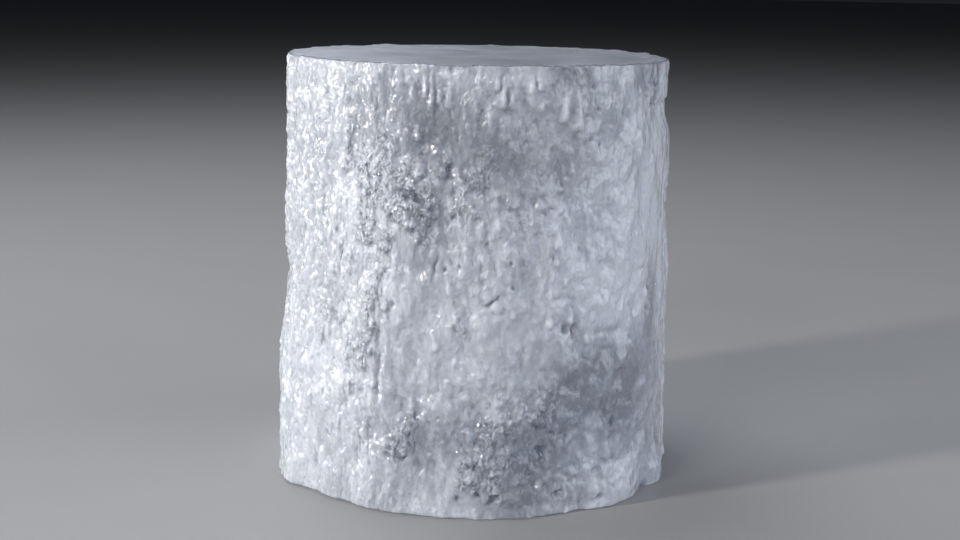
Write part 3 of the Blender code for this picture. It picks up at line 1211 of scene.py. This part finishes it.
@dataclass
class Bench:
    """A material's node tree with short ways to add to it."""

    material: bpy.types.Material

    @property
    def tree(self) -> bpy.types.NodeTree:
        """The node tree."""
        return self.material.node_tree

    def node(self, kind: str, **settings: object) -> bpy.types.Node:
        """Adds a node.

        Args:
            kind: the node's type.
            settings: values of inputs, named as they are labelled, or else of properties.

        Returns:
            The node.
        """
        node = self.tree.nodes.new(kind)
        for name, value in settings.items():
            label = name.replace("_", " ").title()
            if label in node.inputs:
                node.inputs[label].default_value = value
            else:
                setattr(node, name, value)
        return node

    def join(self, source: Socket, target: Socket) -> None:
        """Links two sockets."""
        self.tree.links.new(source, target)

    def channel(self, channel: Channel) -> Socket:
        """The value stored at each point of the skin."""
        return self.node("ShaderNodeAttribute", attribute_name=channel.value).outputs["Fac"]

    def place(self) -> Socket:
        """Each point's Object coordinates."""
        return self.node("ShaderNodeTexCoord").outputs["Object"]

    def squashed(self, place: Socket, stretch: float) -> Socket:
        """Coordinates divided by the stretch up the block.

        Args:
            place: the coordinates.
            stretch: how many times a pattern is stretched up the block.

        Returns:
            The squashed coordinates.
        """
        mapping = self.node("ShaderNodeMapping", scale=(1, 1, 1 / stretch))
        self.join(place, mapping.inputs["Vector"])
        return mapping.outputs["Vector"]

    def grain(self, size: float, stretch: float = 1.0, detail: float = 2.0) -> Socket:
        """Noise in soft grains.

        Args:
            size: width of a grain.
            stretch: how many times taller than wide it is.
            detail: how many finer noises are added.

        Returns:
            The noise, from 0 to 1.
        """
        place = self.squashed(self.place(), stretch)
        noise = self.node("ShaderNodeTexNoise", scale=1 / size, detail=detail)
        self.join(place, noise.inputs["Vector"])
        return noise.outputs["Fac"]

    def cells(self, size: float, stretch: float, stray: float) -> bpy.types.Node:
        """Voronoi cells with ragged outlines.

        Args:
            size: width of a cell.
            stretch: how many times taller than wide it is.
            stray: how far its outline strays.

        Returns:
            The Voronoi node.
        """
        place = self.place()
        noise = self.node("ShaderNodeTexNoise", scale=1 / size, detail=1.0)
        self.join(place, noise.inputs["Vector"])
        moved = self.node("ShaderNodeVectorMath", operation="MULTIPLY_ADD")
        self.join(noise.outputs["Color"], moved.inputs[0])
        moved.inputs[1].default_value = (2 * stray, 2 * stray, 2 * stray)
        self.join(place, moved.inputs[2])
        squashed = self.squashed(moved.outputs["Vector"], stretch)
        cells = self.node("ShaderNodeTexVoronoi", scale=1 / size)
        self.join(squashed, cells.inputs["Vector"])
        return cells

    def ramp(self, value: Socket, low: float, high: float, start: float = 0.0,
             end: float = 1.0) -> Socket:
        """A straight ramp that is level on both sides.

        Args:
            value: what the ramp runs over.
            low: the value where it starts.
            high: the value where it ends.
            start: the result at low and below.
            end: the result at high and above.

        Returns:
            The result.
        """
        node = self.node(
            "ShaderNodeMapRange", from_min=low, from_max=high, to_min=start, to_max=end)
        self.join(value, node.inputs["Value"])
        return node.outputs["Result"]

    def math(self, operation: str, one: Socket, other: Socket | float) -> Socket:
        """Two values put together.

        Args:
            operation: what is done with them.
            one: the first value.
            other: the second value, or a number.

        Returns:
            The result.
        """
        node = self.node("ShaderNodeMath", operation=operation)
        self.join(one, node.inputs[0])
        if isinstance(other, Socket):
            self.join(other, node.inputs[1])
        else:
            node.inputs[1].default_value = other
        return node.outputs["Value"]

    def blend(self, share: Socket, first: Socket | Colour, second: Socket | Colour) -> Socket:
        """A blend of two colours.

        Args:
            share: how much of the second colour there is, from 0 to 1.
            first: the colour at 0.
            second: the colour at 1.

        Returns:
            The colour.
        """
        node = self.node("ShaderNodeMix", data_type="RGBA")
        self.join(share, node.inputs["Factor"])
        for socket, colour in zip(node.inputs[6:8], (first, second)):
            if isinstance(colour, Socket):
                self.join(colour, socket)
            else:
                socket.default_value = (*colour, 1)
        return node.outputs[2]


@dataclass(frozen=True)
class CloudyIce:
    """Cloudy, wet, partly see-through ice."""

    white: Colour = (0.84, 0.88, 0.97)  # colour of bubbly ice
    clear: Colour = (0.42, 0.44, 0.49)  # colour where the ice is clear and lets the dark through, and of painted shade
    deep: Colour = (0.16, 0.17, 0.20)  # colour of the painted shade in a pit and between grains
    see_through: tuple[float, float] = (0.32, 0.72)  # what white and clear ice let through
    ior: float = 1.31  # how strongly the ice bends light
    scatter: float = 0.15  # the share of light that spreads under the skin
    scatter_reach: float = 0.8 * MM  # how far it spreads
    coat: float = 0.8  # how much of the wall has a wet gloss
    coat_ior: float = 1.5  # how strongly the gloss mirrors
    coat_roughness: float = 0.05
    sawn_roughness: float = 0.35
    absorbed: Colour = (0.86, 0.93, 1.0)  # what is left of light that passes through the ice
    density: float = 5.0  # how strongly the ice absorbs
    grain: float = 1.35 * MM  # width of the crust's finest grains, and of the beads' spacing
    bead: float = 0.35  # how far a bead stands out, in bumps
    bumps: float = 0.6 * MM  # how deep the bumps look

    def material(self) -> bpy.types.Material:
        """The finish as nodes on the skin's channels and Object coordinates.

        Returns:
            The material.
        """
        material = bpy.data.materials.new("cloudy_ice")
        material.use_nodes = True
        bench = Bench(material)
        surface = material.node_tree.nodes["Principled BSDF"]
        values = {
            "IOR": self.ior,
            "Subsurface Weight": self.scatter,
            "Subsurface Radius": (1.0, 1.0, 1.0),
            "Subsurface Scale": self.scatter_reach,
            "Coat Roughness": self.coat_roughness,
            "Coat IOR": self.coat_ior,
        }
        for name, value in values.items():
            surface.inputs[name].default_value = value
        rough = bench.channel(Channel.ROUGH)
        creases = self.creases(bench)
        cells = bench.cells(self.grain, stretch=1.35, stray=0.55 * MM)
        clear_and_shade = self.clear_and_shade(bench)
        gaps = self.gaps(bench, creases, cells)
        joints = {
            "Base Color": self.colour(bench, clear_and_shade, gaps),
            "Transmission Weight": bench.ramp(clear_and_shade, 0.0, 1.0, *self.see_through),
            "Roughness": self.roughness(bench),
            "Coat Weight": bench.ramp(rough, 0.05, 0.7, 0.0, self.coat),
            "Normal": self.bump(bench, rough, creases, cells),
        }
        joints["Coat Normal"] = joints["Normal"]
        for name, socket in joints.items():
            bench.join(socket, surface.inputs[name])
        body = bench.node("ShaderNodeVolumeAbsorption", density=self.density)
        body.inputs["Color"].default_value = (*self.absorbed, 1)
        output = material.node_tree.nodes["Material Output"]
        bench.join(body.outputs["Volume"], output.inputs["Volume"])
        return material

    def creases(self, bench: Bench) -> Socket:
        """|n| of a noise n: 0 along fine ragged creases, and rising into a puff between them."""
        grain = bench.grain(2.0 * MM, stretch=1.25, detail=2.0)
        return bench.math("ABSOLUTE", bench.math("SUBTRACT", grain, 0.5), 0.0)

    def clear_and_shade(self, bench: Bench) -> Socket:
        """The stored zones with their painted shade and painted light, mottling, and specks on the
        crust.

        Args:
            bench: the material's bench.

        Returns:
            0 in white ice to 1 in clear ice and in the darkest painted shade.
        """
        mottle = bench.ramp(bench.grain(5 * MM, stretch=2.0, detail=4.0), 0.3, 0.7, -0.05, 0.05)
        rough = bench.ramp(bench.channel(Channel.ROUGH), 0.05, 0.5, 0.2, 1.0)
        mottle = bench.math("MULTIPLY", mottle, rough)
        zones = bench.math("ADD", bench.channel(Channel.CLEAR), mottle)
        specks = bench.ramp(bench.grain(1.1 * MM, stretch=1.4, detail=4.0), 0.36, 0.64, -1.0, 1.0)
        share = bench.ramp(bench.channel(Channel.CRUST), 0.0, 1.0, 0.07, 0.16)
        return bench.math("ADD", zones, bench.math("MULTIPLY", specks, share))

    def gaps(self, bench: Bench, creases: Socket, cells: bpy.types.Node) -> Socket:
        """Painted shade in hollows, along the crust's fine creases and in the corners between its
        grains.

        Args:
            bench: the material's bench.
            creases: 0 along the creases.
            cells: the grains' cells.

        Returns:
            0 on open ice, and more the deeper the gap.
        """
        hollow = bench.ramp(bench.channel(Channel.HOLLOW_SHADE), 0.0, 1.0, 0.0, 0.6)
        broken = bench.ramp(bench.grain(2.2 * MM, stretch=1.3), 0.42, 0.58, 0.0, 0.7)
        corner = bench.ramp(cells.outputs["Distance"], 0.5, 0.8, 0.0, 0.7)
        line = bench.math("MULTIPLY", bench.ramp(creases, 0.0, 0.03, 1.0, 0.0), broken)
        line = bench.math("MAXIMUM", line, corner)
        crusted = bench.math("MULTIPLY", line, bench.channel(Channel.CRUST))
        return bench.math("MAXIMUM", hollow, crusted)

    def colour(self, bench: Bench, clear_and_shade: Socket, gaps: Socket) -> Socket:
        """White ice that turns darker where it is clear, and with painted shade in pits and gaps.
        """
        return bench.blend(gaps, bench.blend(clear_and_shade, self.white, self.clear), self.deep)

    def roughness(self, bench: Bench) -> Socket:
        """Glossy, with duller patches, and dull where it is sawn.

        Args:
            bench: the material's bench.

        Returns:
            The roughness.
        """
        glossy = bench.ramp(bench.grain(3 * MM, stretch=2.5, detail=3.0), 0.3, 0.7, 0.06, 0.20)
        sawn = bench.ramp(bench.channel(Channel.ROUGH), 0.05, 0.4, self.sawn_roughness, 0.0)
        return bench.math("MAXIMUM", glossy, sawn)

    def beads(self, bench: Bench, cells: bpy.types.Node) -> Socket:
        """Small beads, 1 - 5d^2 at a distance d, in as many of the cells as their channel says.

        Args:
            bench: the material's bench.
            cells: the cells that the beads sit in.

        Returns:
            0 beside the beads to 1 on top of them.
        """
        held = bench.math("ADD", bench.channel(Channel.BEADS), cells.outputs["Color"])
        squared = bench.math("MULTIPLY", cells.outputs["Distance"], cells.outputs["Distance"])
        dome = bench.ramp(squared, 0.0, 0.20, 1.0, 0.0)
        return bench.math("MULTIPLY", dome, bench.ramp(held, 1.0, 1.35))

    def bump(self, bench: Bench, rough: Socket, creases: Socket, cells: bpy.types.Node) -> Socket:
        """Tiny ledges everywhere, and fine puffs that stand out most where the ice is rough.

        Args:
            bench: the material's bench.
            rough: how rough the skin is.
            creases: 0 along the creases, and rising between them.
            cells: the cells that the beads sit in.

        Returns:
            The bumped normal.
        """
        grain = bench.grain(2.6 * MM, stretch=1.4, detail=2.0)
        ledges = bench.math("MULTIPLY", bench.math("SNAP", grain, 0.11), 1.8)
        ledges = bench.math("ADD", grain, ledges)
        puffs = bench.math("MULTIPLY", creases, bench.ramp(rough, 0.9, 2.2, 0.5, 1.7))
        height = bench.math("MULTIPLY", bench.math("ADD", ledges, puffs), rough)
        beads = bench.math("MULTIPLY", self.beads(bench, cells), self.bead)
        height = bench.math("ADD", height, beads)
        bump = bench.node("ShaderNodeBump", strength=1.0, distance=self.bumps)
        bench.join(height, bump.inputs["Height"])
        return bump.outputs["Normal"]


@dataclass(frozen=True)
class FloorFinish:
    """A plain pale matt floor."""

    pale: Colour = (0.36, 0.36, 0.366)
    shade: float = 0.94  # how much of that colour the darkest patches have
    patch: float = 60 * MM  # size of a patch
    roughness: float = 0.7

    def material(self) -> bpy.types.Material:
        """Pale, with a faint unevenness.

        Returns:
            The material.
        """
        material = bpy.data.materials.new("pale_floor")
        material.use_nodes = True
        bench = Bench(material)
        surface = material.node_tree.nodes["Principled BSDF"]
        shade = tuple(self.shade * part for part in self.pale)
        colour = bench.blend(bench.grain(self.patch), self.pale, shade)
        bench.join(colour, surface.inputs["Base Color"])
        surface.inputs["Roughness"].default_value = self.roughness
        return material


# ---------------------------------------------------------------- the studio


@dataclass(frozen=True)
class SoftBox:
    """A square soft light that faces a point."""

    name: str
    place: tuple[float, float, float]
    size: float  # length of a side
    watts: float
    colour: Colour = (1.0, 1.0, 1.0)
    target: tuple[float, float, float] = (0.0, 0.0, 0.05)  # the point that it faces

    def build(self) -> None:
        """Hangs the light, turned so that it shines at its target."""
        light = bpy.data.lights.new(self.name, "AREA")
        light.shape = "SQUARE"
        light.size = self.size
        light.energy = self.watts
        light.color = self.colour
        lamp = bpy.data.objects.new(self.name, light)
        way = Vector(self.target) - Vector(self.place)
        turn = way.to_track_quat("-Z", "Y").to_matrix().to_4x4()
        lamp.matrix_world = Matrix.Translation(self.place) @ turn
        lamp.visible_camera = False
        bpy.context.scene.collection.objects.link(lamp)


@dataclass(frozen=True)
class Viewpoint:
    """The camera: where it stands and how it is turned, in degrees."""

    place: tuple[float, float, float] = (0.0, -372.3 * MM, 124.2 * MM)
    lens_mm: float = 54.88
    down: float = 11.41  # how far it looks down
    right: float = 0.19  # how far it looks to the right
    roll: float = 0.98  # how far its right side is raised

    def build(self) -> None:
        """Makes the scene's camera, with its axes worked out from the three angles."""
        down, right, roll = (math.radians(angle) for angle in (self.down, self.right, self.roll))
        level = Vector((math.sin(right), math.cos(right), 0))
        ahead = level * math.cos(down) - Vector((0, 0, math.sin(down)))
        above = level * math.sin(down) + Vector((0, 0, math.cos(down)))
        aside = Vector((math.cos(right), -math.sin(right), 0))
        axis_x = aside * math.cos(roll) + above * math.sin(roll)
        axis_y = above * math.cos(roll) - aside * math.sin(roll)
        data = bpy.data.cameras.new("camera")
        data.lens = self.lens_mm
        data.clip_start = 0.01
        camera = bpy.data.objects.new("camera", data)
        turn = Matrix((axis_x, axis_y, -ahead)).transposed().to_4x4()
        camera.matrix_world = Matrix.Translation(self.place) @ turn
        bpy.context.scene.collection.objects.link(camera)
        bpy.context.scene.camera = camera


@dataclass
class Studio:
    """A round pale floor, soft lights and a plain world."""

    floor_radius: float = 9.0
    floor_gap: float = 0.1 * MM  # the floor lies this far under the foot
    floor_columns: int = 96  # points on each of its circles
    floor_rings: tuple[float, ...] = (0.02, 0.2, 0.6, 1.0)  # the circles' shares of its radius
    world: Colour = (0.012, 0.013, 0.016)  # the faint light from all round
    lights: Sequence[SoftBox] = (
        SoftBox("left_key", (-1.00, 0.16, 0.10), size=0.12, watts=2.9, colour=WARM),
        SoftBox("left_front", (-0.75, -0.40, 0.34), size=0.07, watts=4.9, colour=WARM),
        SoftBox("left_low", (-0.85, -0.25, 0.08), size=0.05, watts=0.9, colour=WARM),
        SoftBox("front_left", (-0.45, -0.80, 0.45), size=0.35, watts=2.6),
        SoftBox("right_fill", (1.25, -0.45, 0.35), size=1.7, watts=20.0, colour=COOL),
        SoftBox("top_fill", (-0.25, 0.30, 0.90), size=0.5, watts=4.2, colour=COOL),
    )

    def lay_floor(self) -> None:
        """Lays a flat disc: points on circles round the middle, joined by quads."""
        columns, radii = self.floor_columns, np.array(self.floor_rings) * self.floor_radius
        angle = np.arange(columns) / columns * 2 * math.pi
        circle = np.stack((np.cos(angle), np.sin(angle)), axis=-1)
        level = np.full(columns, -self.floor_gap)
        points = np.concatenate([np.column_stack((radius * circle, level)) for radius in radii])
        number = np.arange(len(points)).reshape(len(radii), columns)
        beside = np.roll(number, -1, axis=1)
        quads = np.stack((number[:-1], number[1:], beside[1:], beside[:-1]), axis=-1).reshape(-1, 4)
        corners = np.concatenate((quads.ravel(), number[0]))
        sizes = np.append(np.full(len(quads), 4), columns)
        floor = bpy.data.objects.new("floor", mesh_of("floor", points, corners, sizes))
        floor.data.materials.append(FloorFinish().material())
        bpy.context.scene.collection.objects.link(floor)

    def build(self) -> None:
        """Lays the floor, hangs the lights and colours the world."""
        self.lay_floor()
        for light in self.lights:
            light.build()
        world = bpy.data.worlds.new("studio")
        world.use_nodes = True
        world.node_tree.nodes["Background"].inputs["Color"].default_value = (*self.world, 1)
        bpy.context.scene.world = world
        bpy.context.scene.view_settings.view_transform = "Standard"


# ---------------------------------------------------------------- making it all


def ice_block() -> IceBlock:
    """The block with all its marks in place.

    Returns:
        The block, ready to be built.
    """
    crust = Crust(CRUST_ZONES)
    marks: list[Relief] = [
        Scallops(),
        Streaks(0.20 * MM, Waves(3.4 * MM, 16 * MM, 21), 1.8 * MM, STREAK_ZONES),
        Streaks(0.15 * MM, Waves(1.7 * MM, 5 * MM, 23), 1.2 * MM, STREAK_ZONES),
        Flows(0.34 * MM, Grains(2.4 * MM, 4.8 * MM, 25), FLOW_ZONES),
        Flows(0.18 * MM, Grains(1.4 * MM, 2.2 * MM, 27), FLOW_ZONES),
        Plates(PLATE_ZONES),
        Plates(LEDGE_ZONES, 0.20 * MM, 3.0, Waves(4.6 * MM, 4.2 * MM, 37), ground=0.1),
        Pits(0.45 * MM, Grains(2.6 * MM, 3.4 * MM, 63), 0.02, crust),
        Pits(0.36 * MM, Grains(1.4 * MM, 1.8 * MM, 65), 0.035, crust),
        Drips(PLACED_DRIPS),
        Drips(count=280, seed=62, tops=(25 * MM, 95 * MM)),
        Drips(count=110, seed=67, bearings=(-8, 32), tops=(50 * MM, 80 * MM),
              widths=(0.9 * MM, 1.9 * MM), rises=(0.22 * MM, 0.50 * MM)),
        *CREASES,
        *KNOBS,
    ]
    return IceBlock(crust, marks, CLEAR_AND_SHADE_ZONES, FLOW_ZONES, SMOOTH_ZONES, BEAD_ZONES)


def main() -> None:
    """Builds the camera, the studio and the block, in that order."""
    logging.basicConfig(level=logging.INFO, format="%(name)s: %(message)s")
    Viewpoint().build()
    Studio().build()
    ice = ice_block()
    block = ice.build()
    ice.dress(block)
    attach(block, "root")
    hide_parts("ice_block")
    mesh = block.data
    LOG.info("%s: %d vertices, %d faces", block.name, len(mesh.vertices), len(mesh.polygons))


if __name__ == "__main__":
    main()
